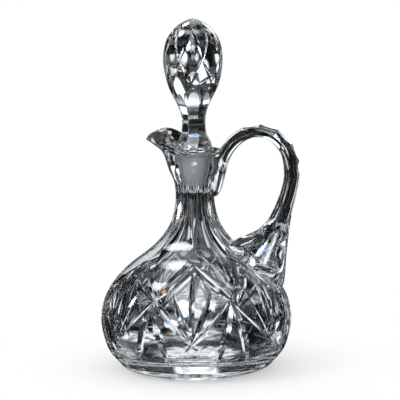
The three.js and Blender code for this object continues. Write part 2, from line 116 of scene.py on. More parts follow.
# Radius of the vessel's outside at a height
vessel_r = spline([
    (0, BASE_FLAT),
    (mix(0, RING_Z, 0.15), mix(BASE_FLAT, BODY_R, 0.26)),
    (mix(0, RING_Z, 0.43), mix(BASE_FLAT, BODY_R, 0.465)),
    (RING_Z, mix(BASE_FLAT, BODY_R, 0.725)),
    (mix(RING_Z, BODY_Z, 0.38), mix(BASE_FLAT, BODY_R, 0.892)),
    (BODY_Z, BODY_R),
    (mix(BODY_Z, SHOULDER_Z, 0.365), mix(BODY_R, SHOULDER_R, 0.12)),
    (mix(BODY_Z, SHOULDER_Z, 0.575), mix(BODY_R, SHOULDER_R, 0.305)),
    (mix(BODY_Z, SHOULDER_Z, 0.785), mix(BODY_R, SHOULDER_R, 0.59)),
    (SHOULDER_Z, SHOULDER_R),
    (mix(SHOULDER_Z, WAIST_Z, 0.185), mix(SHOULDER_R, WAIST_R, 0.38)),
    (mix(SHOULDER_Z, WAIST_Z, 0.375), mix(SHOULDER_R, WAIST_R, 0.67)),
    (mix(SHOULDER_Z, WAIST_Z, 0.555), mix(SHOULDER_R, WAIST_R, 0.854)),
    (mix(SHOULDER_Z, WAIST_Z, 0.735), mix(SHOULDER_R, WAIST_R, 0.949)),
    (WAIST_Z, WAIST_R),
    (mix(WAIST_Z, RIM_Z, 0.28), mix(WAIST_R, RIM_R, 0.185)),
    (mix(WAIST_Z, RIM_Z, 0.48), mix(WAIST_R, RIM_R, 0.51)),
    (mix(WAIST_Z, RIM_Z, 0.675), mix(WAIST_R, RIM_R, 0.85)),
    (RIM_Z, RIM_R),
])
# Thickness of the vessel's wall at a height
wall = spline([
    (FLOOR_Z, 2.4 * BODY_WALL),
    (mix(FLOOR_Z, BODY_Z, 0.11), 1.9 * BODY_WALL),
    (mix(FLOOR_Z, BODY_Z, 0.3), 1.35 * BODY_WALL),
    (mix(FLOOR_Z, BODY_Z, 0.55), 1.08 * BODY_WALL),
    (BODY_Z, BODY_WALL),
    (mix(BODY_Z, SHOULDER_Z, 0.45), 1.04 * BODY_WALL),
    (SHOULDER_Z, SHOULDER_WALL),
    (mix(SHOULDER_Z, WAIST_Z, 0.39), NECK_WALL),
    (WAIST_Z, NECK_WALL),
])
# Depth of a neck flute at a height; below 0 the wheel is clear of the glass
flute_depth = spline([
    (FLUTE_END - FLUTE_RUN, -0.7),
    (FLUTE_END, 0),
    (mix(FLUTE_END, WAIST_Z, 0.15), 1.6),
    (mix(FLUTE_END, WAIST_Z, 0.3), 3.0),
    (mix(FLUTE_END, WAIST_Z, 0.48), 3.0),
    (WAIST_Z, 2.3),
    (mix(WAIST_Z, FLUTE_TOP, 0.56), 2.18),
    (FLUTE_TOP, 0),
    (FLUTE_TOP + FLUTE_RUN, -0.7),
])
# Shares of the spout's reach, pinch and rise at an angle from its middle
LIP = [(0, 1, 0, 0.5), (12, 0.885, 0, 0.71), (24, 0.68, 0.38, 0.91), (36, 0.45, 0.85, 1),
       (48, 0.27, 1, 0.91), (60, 0.12, 0.6, 0.64), (75, 0, 0.18, 0.28), (90, 0, 0, 0.08), (105, 0, 0, 0)]
lip_reach, lip_pinch, lip_rise = [spline([(p[0], p[k]) for p in LIP], flat_ends=True) for k in (1, 2, 3)]


def turned(angle, r, z):
    """Points at an angle in degrees, a radius and a height."""
    a = np.radians(angle)
    r, z, a = np.broadcast_arrays(r, z, a)
    return np.stack([r * np.cos(a), r * np.sin(a), z], -1)


def lathe(angle, r, z):
    """The profile of radii r at heights z, turned to each angle: one ring of points for each height."""
    return turned(angle[None], r[:, None], z[:, None])


def from_spout(angle):
    return np.abs(np.mod(angle, 360.0) - 180.0)


def lip(angle):
    """Outer edge of the lip: the round rim, drawn out, closed in and raised toward the spout."""
    w = from_spout(angle)
    p = turned(angle, RIM_R, RIM_Z)
    p[..., 0] -= SPOUT_REACH * np.clip(lip_reach(w), 0, None)
    p[..., 1] -= np.sign(p[..., 1]) * SPOUT_PINCH * np.clip(lip_pinch(w), 0, None)
    p[..., 2] += SPOUT_RISE * np.clip(lip_rise(w), 0, None)
    return p


def inner_lip(angle):
    """The outer edge moved inward by the lip's thickness, across its own direction in plan."""
    along = lip(angle + 1.0) - lip(angle - 1.0)
    inward = np.stack([-along[..., 1], along[..., 0], 0 * along[..., 0]], -1)
    return lip(angle) + LIP_WALL * inward / np.linalg.norm(inward, axis=-1, keepdims=True)


def drawn(rings, share, edge, round_r, under, beside, width=36.0):
    """Rings moved along toward the edge of the lip, by the share to a power: one power under the middle
    of the spout, the other from width degrees beside it on."""
    t = np.minimum(from_spout(AROUND) / width, 1.0)
    power = under + (beside - under) * ease(t)
    shift = edge(AROUND) - turned(AROUND, round_r, RIM_Z)
    pull = np.power(np.clip(share, 0, 1)[:, None], power[None, :])
    return rings + pull[..., None] * shift[None]


def even(radius, low, high, step, samples=4000):
    """Heights at even steps along the outline r = radius(z)."""
    z = np.linspace(low, high, samples)
    s = np.concatenate([[0], np.cumsum(np.hypot(np.diff(z), np.diff(radius(z))))])
    return np.interp(np.linspace(0, s[-1], max(2, int(round(s[-1] / step)) + 1)), s, z)


def outside_rings(grow=0.0, spout_rows=34, crowd=1.5):
    """The outline turned about the axis and moved out by grow, its rows even up to the spout's root and
    closer together from there to the rim, then drawn to the lip's outer edge."""
    spout = RIM_Z - SPOUT_ROOT
    closing = SPOUT_ROOT + spout * (1 - np.linspace(1, 0, spout_rows)**crowd)
    z = np.union1d(even(vessel_r, 0.0, SPOUT_ROOT, OUTSIDE_STEP), closing)
    rings = lathe(AROUND, vessel_r(z) + grow, z)
    rings[0, :, 2] -= grow
    return drawn(rings, (z - SPOUT_ROOT) / spout, lip, RIM_R, under=11.0, beside=4.0)


def lip_rings(grow=0.0, rows=6):
    """Half an ellipse over the lip, from its outer to its inner edge."""
    outer, inner = lip(AROUND), inner_lip(AROUND)
    t = np.linspace(0, math.pi, rows + 2)[1:-1, None, None]
    rings = (outer + inner) / 2 + (outer - inner) / 2 * np.cos(t)
    rings[..., 2] += (LIP_RISE + grow) * np.sin(t[..., 0])
    return rings


def cavity_r(z, bend=1.2):
    """Radius of the inside: the larger of the bore and the outline less the wall, run into each other
    by a root whose bend is in square millimetres."""
    a, b = BORE_R, vessel_r(z) - wall(z)
    return 0.5 * (a + b + np.sqrt((a - b) ** 2 + bend))


def inside_rings(funnel_rows=22, seat_rows=12, floor_rows=14, bore_gap=4.0, floor_hub=2.0):
    """From the lip's inner edge down: a funnel that narrows evenly to the seat while its height goes
    with the share to the power 1.3, the seat's straight taper, the cavity's outline, and a floor that
    dips toward its middle as one minus the square of the way out."""
    share = np.linspace(1, 0, funnel_rows)
    mouth, seat = RIM_R - LIP_WALL, PLUG_TOP_R + GAP
    funnel = lathe(AROUND, seat + share * (mouth - seat), SEAT_TOP + share**1.3 * (RIM_Z - SEAT_TOP))
    funnel = drawn(funnel, share, inner_lip, mouth, under=2.0, beside=2.6)
    z = np.linspace(SEAT_TOP, SEAT_LOW, seat_rows)[1:]
    up = (z - SEAT_LOW) / (SEAT_TOP - SEAT_LOW)
    taper = lathe(AROUND, PLUG_LOW_R + GAP + up * (PLUG_TOP_R - PLUG_LOW_R), z)
    z = even(cavity_r, FLOOR_Z, SEAT_LOW - bore_gap, INSIDE_STEP)[::-1]
    bulb = lathe(AROUND, cavity_r(z), z)
    edge = cavity_r(FLOOR_Z)
    r = np.linspace(edge, floor_hub, floor_rows)[1:]
    floor = lathe(AROUND, r, FLOOR_Z - FLOOR_DIP * (1 - (r / edge) ** 2))
    return np.concatenate([funnel, taper, bulb, floor])


def shell(rings):
    """Closed surface from stacked rings, with a fan at each end; faces are turned outward."""
    rows, cols = rings.shape[:2]
    verts = np.concatenate([rings.reshape(-1, 3), rings[0].mean(0)[None], rings[-1].mean(0)[None]])
    i, j = np.meshgrid(np.arange(rows - 1), np.arange(cols), indexing="ij")
    a, b = i * cols + j, i * cols + (j + 1) % cols
    quads = np.stack([a, b, b + cols, a + cols], -1).reshape(-1, 4)
    k = np.arange(cols)
    n = (k + 1) % cols
    below = (rows - 1) * cols
    first = np.stack([np.full(cols, rows * cols), n, k], -1)
    last = np.stack([np.full(cols, rows * cols + 1), k + below, n + below], -1)
    tris = np.concatenate([first, last, quads[:, [0, 1, 2]], quads[:, [0, 2, 3]]])
    p = verts[tris]
    volume = np.einsum("ij,ij->", p[:, 0], np.cross(p[:, 1], p[:, 2]))
    if volume < 0:
        quads, first, last = quads[:, ::-1], first[:, ::-1], last[:, ::-1]
    return verts, [quads, np.concatenate([first, last])]


def together(shells):
    """Several shells as one list of points and faces."""
    verts, groups, start = [], [], 0
    for v, faces in shells:
        verts.append(v)
        groups += [f + start for f in faces]
        start += len(v)
    return np.concatenate(verts), groups


def turn_shell(part, angle):
    """A shell turned about the axis by an angle in degrees."""
    a = math.radians(angle)
    m = np.array([[math.cos(a), math.sin(a), 0], [-math.sin(a), math.cos(a), 0], [0, 0, 1]])
    return part[0] @ m, part[1]


def repeated(part, count, start=0.0, without=None):
    """Copies of a shell at even turns about the axis, all but one if asked, then turned to the start."""
    step = 360.0 / count
    copies = [turn_shell(part, k * step) for k in range(count) if k != without]
    return together([turn_shell(copy, start) for copy in copies])


def solid(name, verts, groups, *materials):
    """Mesh object from points in millimetres and groups of faces, shaded smooth."""
    mesh = bpy.data.meshes.new(name)
    sizes = np.concatenate([np.full(len(g), g.shape[1]) for g in groups])
    corners = np.concatenate([g.ravel() for g in groups]).astype(np.int32)
    mesh.vertices.add(len(verts))
    mesh.vertices.foreach_set("co", (verts * MM).astype(np.float32).ravel())
    mesh.loops.add(len(corners))
    mesh.loops.foreach_set("vertex_index", corners)
    mesh.polygons.add(len(sizes))
    mesh.polygons.foreach_set("loop_start", np.concatenate([[0], np.cumsum(sizes)[:-1]]).astype(np.int32))
    mesh.polygons.foreach_set("use_smooth", np.ones(len(sizes), bool))
    mesh.update(calc_edges=True)
    for m in materials:
        mesh.materials.append(m)
    obj = bpy.data.objects.new(name, mesh)
    bpy.context.collection.objects.link(obj)
    return obj


def carve(obj, cutters, operation="DIFFERENCE"):
    """Each cutter in turn taken away from the object, or kept in common with it; the cutters are used
    up, and the faces that they leave have their finish."""
    for cutter in cutters:
        m = obj.modifiers.new("cut", "BOOLEAN")
        m.operation, m.solver, m.material_mode, m.object = operation, "MANIFOLD", "TRANSFER", cutter
    bpy.context.view_layer.update()
    mesh = bpy.data.meshes.new_from_object(obj.evaluated_get(bpy.context.evaluated_depsgraph_get()))
    used = [obj.data] + [cutter.data for cutter in cutters]
    obj.modifiers.clear()
    obj.data = mesh
    for cutter in cutters:
        bpy.data.objects.remove(cutter)
    for data in used:
        bpy.data.meshes.remove(data)
    return obj


def crisp(obj, cut_angle, plain_angle):
    """Sharp edges where two finishes meet, and where faces of one finish fold by more than an angle:
    the first angle between cut faces, the second between plain ones."""
    mesh = obj.data
    n = len(mesh.polygons)
    normals, finish = np.zeros(n * 3, np.float32), np.zeros(n, np.int32)
    mesh.polygons.foreach_get("normal", normals)
    mesh.polygons.foreach_get("material_index", finish)
    mesh.polygons.foreach_set("use_smooth", np.ones(n, bool))
    normals = normals.reshape(-1, 3)
    edge_of = np.zeros(len(mesh.loops), np.int32)
    mesh.loops.foreach_get("edge_index", edge_of)
    sizes = np.zeros(n, np.int32)
    mesh.polygons.foreach_get("loop_total", sizes)
    face_of = np.repeat(np.arange(n), sizes)
    order = np.argsort(edge_of, kind="stable")
    e, f = edge_of[order], face_of[order]
    first = np.flatnonzero(np.r_[True, e[1:] != e[:-1]])
    count = np.diff(np.r_[first, len(e)])
    two = first[count == 2]
    fa, fb = f[two], f[two + 1]
    bend = np.degrees(np.arccos(np.clip(np.einsum("ij,ij->i", normals[fa], normals[fb]), -1, 1)))
    limit = np.where((finish[fa] > 0) & (finish[fb] > 0), cut_angle, plain_angle)
    sharp = np.zeros(len(mesh.edges), bool)
    sharp[e[two]] = (finish[fa] != finish[fb]) | (bend > limit)
    mark = mesh.attributes.get("sharp_edge") or mesh.attributes.new("sharp_edge", "BOOLEAN", "EDGE")
    mark.data.foreach_set("value", sharp)
    mesh.update()


def grind(obj, low, high, reach):
    """The ground finish on the faces between two heights whose middles are less than reach from the
    axis."""
    mesh = obj.data
    mesh.materials.append(GROUND)
    centre, finish = np.zeros(len(mesh.polygons) * 3), np.zeros(len(mesh.polygons), np.int32)
    mesh.polygons.foreach_get("center", centre)
    mesh.polygons.foreach_get("material_index", finish)
    x, y, z = centre.reshape(-1, 3).T / MM
    finish[(z > low) & (z < high) & (np.hypot(x, y) < reach)] = len(mesh.materials) - 1
    mesh.polygons.foreach_set("material_index", finish)


def outward(radius, angle, z, step=0.2):
    """Unit vectors square to the surface that the outline r = radius(z) makes."""
    slope = (radius(z + step) - radius(z - step)) / (2 * step)
    normal = turned(angle, 1.0, -slope)
    return normal / np.linalg.norm(normal, axis=1, keepdims=True)


def mitre(radius, start, end, depth, spread, stations=40, lift=1.8, stub=0.03):
    """V groove along a line in angle and height on a round surface: at each station a triangle with its
    point at the depth below the glass. The depth goes with the sine of the way to the power 0.6, from a
    stub at each end, and spread is half the groove's width over its depth."""
    t = np.linspace(0, 1, stations)
    angle, z = mix(start[0], end[0], t), mix(start[1], end[1], t)
    p = turned(angle, radius(z), z)
    normal = outward(radius, angle, z)
    across = np.cross(np.gradient(p, axis=0), normal)
    across /= np.linalg.norm(across, axis=1, keepdims=True)
    deep = (depth * np.sin(math.pi * (stub + (1 - 2 * stub) * t)) ** 0.6)[:, None]
    half = (deep + lift) * spread
    top = p + normal * lift
    return shell(np.stack([p - normal * deep, top + across * half, top - across * half], 1))


def olive(radius, middle, height, reach, depth, bend, stations=28, arc=6, lift=1.5, tip=0.04):
    """Long oval hollow across a panel: at each station an arc of one bend, sunk by the depth times one
    minus the square of the way from the middle, less the tip, so the hollow's edge is an ellipse."""
    u = np.linspace(-1, 1, stations)
    angle, z = middle + u * reach, np.full(stations, height)
    p = turned(angle, radius(z), z)
    normal = outward(radius, angle, z)
    across = np.cross(turned(angle + 90.0, 1.0, 0.0), normal)
    deep = depth * (1 - u**2) - tip
    swing = np.arccos(np.clip((bend - deep - lift) / bend, -1, 1))
    v = np.linspace(-1, 1, 2 * arc + 1)[None] * swing[:, None]
    rings = (p[:, None] + normal[:, None] * (bend * (1 - np.cos(v)) - deep[:, None])[..., None]
             + across[:, None] * (bend * np.sin(v))[..., None])
    return shell(rings)


def flute(angle, grow, stations=110, arc=14, ramp_up=0.3, ridge=0.4, shallow=0.45, flat=90.0, lift=1.2):
    """Neck groove: at each height a circle through the groove's floor and the two ridges, where it meets
    its neighbours. With R the glass, F the floor and c the cosine of half a panel less the ridge, its
    radius is (R squared + F squared - 2 R F c) / 2 (R c - F), and no more than flat."""
    top = SPOUT_FLUTE_TOP if from_spout(angle) < PANEL else FLUTE_TOP
    z = np.linspace(FLUTE_END - FLUTE_RUN, top + FLUTE_RUN, stations)
    outer = vessel_r(z) + grow
    floor = outer - np.minimum(flute_depth(z), (top - z) * ramp_up)
    half = math.radians(HALF_PANEL - ridge)
    chord = np.maximum(outer * math.cos(half) - floor, shallow)
    r = np.minimum((outer**2 + floor**2 - 2 * outer * floor * math.cos(half)) / (2 * chord), flat)
    reach = np.arccos(np.clip((floor + r - outer - lift) / r, 0, 1))
    u = np.linspace(-1, 1, 2 * arc + 1)[None] * reach[:, None]
    x, y = floor[:, None] + r[:, None] * (1 - np.cos(u)), r[:, None] * np.sin(u)
    return turn_shell(shell(np.stack([x, y, np.broadcast_to(z[:, None], u.shape)], -1)), angle)


def flute_cutters(finish, grow=0.0):
    """The seven flutes in three rounds, because neighbours overlap."""
    rounds = [(0, 2, 4), (1, 3, 5), (6,)]
    return [solid("flutes", *together([flute(k * PANEL, grow) for k in r]), finish) for r in rounds]


class Value:
    """A socket with arithmetic, for material maths."""

    def __init__(self, tree, socket):
        self.tree, self.socket = tree, socket

    def maths(self, kind, other, flip=False):
        node = self.tree.nodes.new("ShaderNodeMath")
        node.operation = kind
        for slot, v in zip(node.inputs, (other, self) if flip else (self, other)):
            feed(self.tree, slot, v)
        return Value(self.tree, node.outputs[0])

    def __add__(self, o):
        return self.maths("ADD", o)

    __radd__ = __add__

    def __mul__(self, o):
        return self.maths("MULTIPLY", o)

    __rmul__ = __mul__

    def __sub__(self, o):
        return self.maths("SUBTRACT", o)

    def __rsub__(self, o):
        return self.maths("SUBTRACT", o, flip=True)


def feed(tree, slot, v):
    """A value, a socket or a plain number or colour into a slot."""
    if isinstance(v, Value):
        v = v.socket
    if isinstance(v, bpy.types.NodeSocket):
        tree.links.new(v, slot)
    else:
        slot.default_value = v


class Nodes:
    """A node tree under way: make() adds any node with its settings and inputs, by name or as i0, i1."""

    def __init__(self, tree):
        self.tree = tree

    def make(self, kind, settings=(), **inputs):
        node = self.tree.nodes.new(kind)
        for key, v in dict(settings).items():
            setattr(node, key, v)
        for key, v in inputs.items():
            numbered = key[0] == "i" and key[1:].isdigit()
            self.feed(node.inputs[int(key[1:]) if numbered else key.replace("_", " ")], v)
        return node

    def feed(self, slot, v):
        feed(self.tree, slot, v)

    def vector(self, operation, **inputs):
        return self.make("ShaderNodeVectorMath", {"operation": operation}, **inputs).outputs


class Finish(Nodes):
    """A material under way, with the patterns that its maths uses."""

    def __init__(self, name):
        self.material = bpy.data.materials.new(name)
        self.material.use_nodes = True
        super().__init__(self.material.node_tree)
        self.shader = self.tree.nodes["Principled BSDF"]
        self.surface = self.tree.nodes["Material Output"].inputs["Surface"]
        self.place = self.make("ShaderNodeTexCoord").outputs["Object"]

    def set(self, **inputs):
        """Values or links for the shader's own sockets."""
        for key, v in inputs.items():
            self.feed(self.shader.inputs[key.replace("_", " ")], v)

    def noise(self, scale, detail=3.0, rough=0.5, stretch=None):
        place = self.place
        if stretch:
            place = self.make("ShaderNodeMapping", Vector=place, Scale=stretch).outputs[0]
        node = self.make("ShaderNodeTexNoise", Vector=place, Scale=scale, Detail=detail, Roughness=rough)
        return Value(self.tree, node.outputs["Fac"])

    def band(self, v, low, high):
        """0 below low, 1 above high, smooth between."""
        smooth = {"interpolation_type": "SMOOTHSTEP"}
        node = self.make("ShaderNodeMapRange", smooth, Value=v, From_Min=low, From_Max=high)
        return Value(self.tree, node.outputs["Result"])

    def blend(self, factor, a, b):
        node = self.make("ShaderNodeMix", {"data_type": "RGBA"}, Factor=factor, i6=a, i7=b)
        return node.outputs[2]

    def bump(self, height, strength, distance):
        node = self.make("ShaderNodeBump", Height=height, Strength=strength, Distance=distance)
        return node.outputs["Normal"]


LEAD_GLASS = 1.545
WHITE = (1.0, 1.0, 1.0, 1)


def crystal(name, deep_tint, rough, wave_size, wave=0.00003):
    """Clear lead crystal: a trace of grey that drifts with the gather, faint cords of uneven glass and
    a roughness that rises a little where the surface is handled."""
    f = Finish(name)
    f.set(Transmission_Weight=1.0, IOR=LEAD_GLASS)
    drift = f.band(f.noise(14.0, 2.0, 0.5, (1.0, 1.0, 0.45)), 0.3, 0.7)
    smear = f.band(f.noise(60.0, 4.0, 0.6), 0.45, 0.8)
    cords = f.noise(wave_size, 2.0, 0.45, (1.0, 1.0, 0.35))
    f.set(Base_Color=f.blend(drift, WHITE, deep_tint), Roughness=smear * rough)
    f.set(Normal=f.bump(cords, 1.0, wave))
    return f.material


def ground(name):
    """Finely ground glass of plug and seat: half clear, half milky, its grain worn unevenly."""
    f = Finish(name)
    f.set(Transmission_Weight=0.5, IOR=LEAD_GLASS)
    grain = f.noise(2600.0, 2.0, 0.7)
    worn = f.band(f.noise(160.0, 3.0, 0.55), 0.35, 0.7)
    f.set(Base_Color=f.blend(grain, (0.95, 0.96, 0.97, 1), WHITE))
    f.set(Roughness=grain * 0.06 + worn * 0.08 + 0.16, Normal=f.bump(grain, 0.3, 0.00004))
    return f.material


def fused(name):
    """Where two pieces of hot glass run together nothing is seen."""
    f = Finish(name)
    f.set(Base_Color=f.blend(f.noise(14.0), WHITE, (0.97, 0.98, 0.98, 1)), Alpha=0.0)
    return f.material


BLOWN = crystal("blown_crystal", (0.972, 0.98, 0.984, 1), 0.006, 55.0)
CUT = crystal("cut_crystal", (0.965, 0.975, 0.98, 1), 0.004, 160.0)
GROUND = ground("ground_crystal")
FUSED = fused("fused_joint")

# The cutting of one panel: heights of the lozenge's top, side corners and foot, and of the fan's rays,
# whose turns are from the panel's middle; depths of the wide and the narrow mitres
LOZENGE_TOP, LOZENGE_CORNER, LOZENGE_FOOT = 81.0, 59.0, 30.5
MIDDLE_RAY_TOP, SIDE_RAY, CROSS_RAY, SPREAD_FOOT = 77.0, (12.5, 64.0), (4.5, 24.0), 11.0
WIDE, NARROW, BODY_SPREAD = 1.9, 1.3, 1.6
# The olives in the band above the ring: height, reach in degrees, depth, bend
OLIVE = (17.7, 15.5, 1.0, 5.0)
# The star under the base: distance from the axis, half width and depth of a ray at its two ends and its
# middle; its cutter reaches down to STAR_UNDER
STAR_RAYS, STAR_UNDER = 16, -1.8
STAR_RAY = [(8.0, 2.4, 0.09), (26.6, 4.1, 1.5), (39.0, 2.4, 0.09)]
# Folds, in degrees, past which an edge is sharp: between cut faces, those of the head, and plain ones
CUT_FOLD, HEAD_FOLD, PLAIN_FOLD = 14.0, 12.0, 26.0


def panel_mitres():
    """The mitres of one panel as start, end, depth and the panel that goes without. The two upper sides
    next to the handle are left out, where its pad covers them."""
    foot = (HALF_PANEL, LOZENGE_FOOT)
    lines = [(foot, (HALF_PANEL, MIDDLE_RAY_TOP), NARROW, None)]
    for side in (-1, 1):
        corner = (HALF_PANEL + side * HALF_PANEL, LOZENGE_CORNER)
        spread = (HALF_PANEL + side * (HALF_PANEL - SPREAD_FOOT), RING_Z)
        ray = (HALF_PANEL + side * SIDE_RAY[0], SIDE_RAY[1])
        crossing = (HALF_PANEL - side * CROSS_RAY[0], CROSS_RAY[1])
        by_handle = 0 if side < 0 else PANELS - 1
        lines += [((HALF_PANEL, LOZENGE_TOP), corner, WIDE, by_handle), (corner, spread, WIDE, None),
                  (foot, ray, NARROW, None), (crossing, corner, NARROW, None)]
    return lines


def make_vessel():
    """One closed skin, outside, lip and inside, with flutes, mitres, olives and the star cut into it."""
    skin = shell(np.concatenate([outside_rings(), lip_rings(), inside_rings()]))
    vessel = solid("vessel_glass", *skin, BLOWN)
    carve(vessel, flute_cutters(CUT))
    cutters = []
    for start, end, depth, without in panel_mitres():
        groove = mitre(vessel_r, start, end, depth, BODY_SPREAD)
        cutters.append(solid("mitres", *repeated(groove, PANELS, without=without), CUT))
    cutters.append(solid("olives", *repeated(olive(vessel_r, HALF_PANEL, *OLIVE), PANELS), CUT))
    ray = [[(x, 0, deep), (x, half, STAR_UNDER), (x, -half, STAR_UNDER)] for x, half, deep in STAR_RAY]
    cutters.append(solid("star", *repeated(shell(np.array(ray)), STAR_RAYS), CUT))
    carve(vessel, cutters)
    grind(vessel, SEAT_LOW, SEAT_TOP, PLUG_TOP_R + 2 * GAP)
    return vessel


# The handle: reach and rise of its arch from the rim, half width of the strap; size and half width of
# the foot, heights of its pad on the vessel; depth of the thumb notches, and how far the root goes in
ARCH_REACH, ARCH_RISE, STRAP = 56.3, 19.4, 6.4
FOOT, PAD, PAD_LOW, PAD_HIGH = 37.0, 15.5, 62.0, 89.0
NOTCH, ROOT = 1.3, 2.1
# Its stations from the rim to the vessel, as shares of these: place of the outer edge, place of the
# inner edge, half width. ARCH starts from the rim, FLARE from the pad's heights on the vessel
ARCH = [
    (-0.14, -1.63, -0.06, -1.65, 0.41),
    (-0.14, -1.3, 0, -1.35, 0.69),
    (-0.12, -0.78, 0.05, -0.81, 0.87),
    (-0.07, -0.27, 0.105, -0.29, 0.94),
    (0.015, 0.175, 0.183, 0.08, 1),
    (0.108, 0.535, 0.265, 0.31, 1),
    (0.279, 0.875, 0.361, 0.475, 1),
    (0.5, 1, 0.496, 0.55, 1),
    (0.734, 0.815, 0.659, 0.37, 1),
    (0.911, 0.33, 0.773, -0.03, 1),
    (0.993, -0.28, 0.808, -0.475, 1),
    (1, -0.835, 0.808, -0.918, 1),
    (0.954, -1.557, 0.751, -1.526, 1.03),
    (0.89, -2.278, 0.648, -2.206, 1.09),
]
FLARE = [
    (0.235, 1, 0.525, 0.385, 0.54),
    (0.187, 0.675, 0.243, 0.216, 0.72),
    (0.149, 0.35, -0.013, 0.097, 0.92),
    (0.1, 0, -0.122, -0.013, 1),
    (-0.062, -0.19, -0.27, -0.243, 0.9),
]
# Stations between which the back is notched, and where the pad's section comes in
NOTCHES, PAD_FROM, PAD_OVER = (6, 11), 13.5, 1.5
# Stations where the side flutes start and end, the length of their run-in and run-out
FLUTES, RUN_IN, RUN_OUT = (8.0, 14.2), 1.5, 0.8
# Half a section from its inner to its outer edge, as place and half width. The strap is round up to the
# arris, at the fourth of seven steps, and straight after it
STEPS, ARRIS, ARRIS_PLACE = 7, 4, 0.58
STRAP_SIDE = [(ARRIS_PLACE, 1.0), (0.84, 0.76), (1, 0.4), (1, 0.0)]
PAD_SIDE = [(0, 0.0), (0, 0.2), (0.12, 0.56), (0.34, 0.88), (0.6, 1.0), (0.84, 0.8), (1, 0.38), (1, 0.0)]
# The two side flutes: the steps that each lies between, and its depth as a share of the half width
SIDE_FLUTES = [((2, 4), 0.16), ((4, 6), 0.128)]
# Steps of the section over which a notch comes in
NOTCH_FROM, NOTCH_OVER = 4.6, 1.4


def through(column):
    """Spline through values at 0, 1, 2 and so on."""
    return spline(list(zip(range(len(column)), column)))


def strap_section(key):
    """Quarter ellipse, its width's sine to the power 0.85, then straight from point to point."""
    swing = np.minimum(key / ARRIS, 1) * math.pi / 2
    rounded = np.stack([ARRIS_PLACE * (1 - np.cos(swing)), np.sin(swing) ** 0.85], 1)
    side = np.array(STRAP_SIDE)
    k = np.clip(key.astype(int) - ARRIS, 0, len(side) - 2)
    u = np.clip(key - ARRIS - k, 0, 1)[:, None]
    return np.where(key[:, None] < ARRIS, rounded, side[k] * (1 - u) + side[k + 1] * u)


def hump(key, low, high):
    """Half a sine wave between two steps of the section, 0 elsewhere."""
    return np.where((key > low) & (key < high), np.sin(np.pi * (key - low) / (high - low)), 0)


def handle_rings(per_station=24, per_step=5):
    """Sections between the handle's outer and inner edge: a strap with two hollow flutes on its lower
    half, that rounds out into the pad; the outer face is scalloped between the notch ridges, by four
    times share times one minus share of the way between two stations."""
    reach, rise = ARCH_REACH, ARCH_RISE
    rows = [(RIM_R + a * reach, RIM_Z + b * rise, RIM_R + c * reach, RIM_Z + d * rise, e * STRAP)
            for a, b, c, d, e in ARCH]
    low_r, high_r = float(vessel_r(PAD_LOW)), float(vessel_r(PAD_HIGH))
    rows += [(low_r + a * FOOT, PAD_LOW + b * FOOT, high_r + c * FOOT, PAD_HIGH + d * FOOT, e * PAD)
             for a, b, c, d, e in FLARE]
    last = len(rows) - 1
    t = np.linspace(0, last, last * per_station + 1)
    outer_x, outer_z, inner_x, inner_z, half = [through(column)(t) for column in zip(*rows)]
    outer, inner = np.stack([outer_x, 0 * t, outer_z], 1), np.stack([inner_x, 0 * t, inner_z], 1)
    share = t - np.floor(t)
    notched = (t > NOTCHES[0]) & (t < NOTCHES[1])
    notch = np.where(notched, 4 * share * (1 - share) * NOTCH, 0) / np.linalg.norm(outer - inner, axis=1)
    key = np.linspace(0, STEPS, STEPS * per_step + 1)
    on_strap = strap_section(key)
    on_pad = np.stack([through(column)(key) for column in zip(*PAD_SIDE)], 1)
    run = ramp(t, FLUTES[0], RUN_IN) * np.clip((FLUTES[1] - t) / RUN_OUT, 0, 1)
    sunk = ease(run)[:, None] * sum(depth * hump(key, *steps) for steps, depth in SIDE_FLUTES)[None]
    fade = ease(ramp(t, PAD_FROM, PAD_OVER))[:, None]
    place = on_strap[None, :, 0] * (1 - fade) + on_pad[None, :, 0] * fade
    wide = (on_strap[None, :, 1] - sunk) * (1 - fade) + on_pad[None, :, 1] * fade
    place = place - notch[:, None] * ramp(key[None], NOTCH_FROM, NOTCH_OVER)
    right = inner[:, None] + place[..., None] * (outer - inner)[:, None]
    right[..., 1] = wide * half[:, None]
    left = right[:, 1:-1][:, ::-1] * np.array([1, -1, 1])
    return np.concatenate([right, left], 1)


def outside(finish, grow=0.0):
    """The vessel's outside with its flutes, moved out by grow, as one closed block."""
    block = solid("outside", *shell(np.concatenate([outside_rings(grow), lip_rings(grow)])), finish)
    return carve(block, flute_cutters(finish, grow))


def make_handle(vessel):
    """The handle cut to the vessel's outside; its root goes a little way into the wall, where the two
    run together as one glass, so the faces of the joint are left out of sight."""
    handle = solid("handle_glass", *shell(handle_rings()), BLOWN)
    hollow = solid("hollow", *shell(handle_rings()), FUSED)
    carve(hollow, [outside(FUSED, -ROOT)])
    carve(vessel, [hollow])
    carve(handle, [outside(FUSED)])
    crisp(handle, CUT_FOLD, CUT_FOLD)
    return handle


# The stopper, in millimetres above the plug: collar, waist, widest part of the head, and its top
PLUG_TOP = SEAT_TOP + 1.0
COLLAR_R, COLLAR = 12.6, 12.0
NECK_R, NECK = 9.1, 23.0
HEAD_R, HEAD, TOP = 21.1, 67.0, 96.0
# Share of the way from the head's widest part to its top where the outline gives way to the crown
CROWN = 0.972
# The eased edge of the plug's lower end; the smaller size is also left unground under the collar
PLUG_EDGE, PLUG_BEVEL = 0.7, 0.2
# Its ground sides, turned from the spout's line; depth and spread of the head's mitres
SIDES, TURN = 8, 12.0
SIDE = 360.0 / SIDES
HEAD_MITRE, HEAD_SPREAD = 0.8, 1.7
HEAD_TOP, HEAD_CORNER, HEAD_FOOT = mix(HEAD, TOP, 0.88), HEAD + 1.0, mix(NECK, HEAD, 0.65)

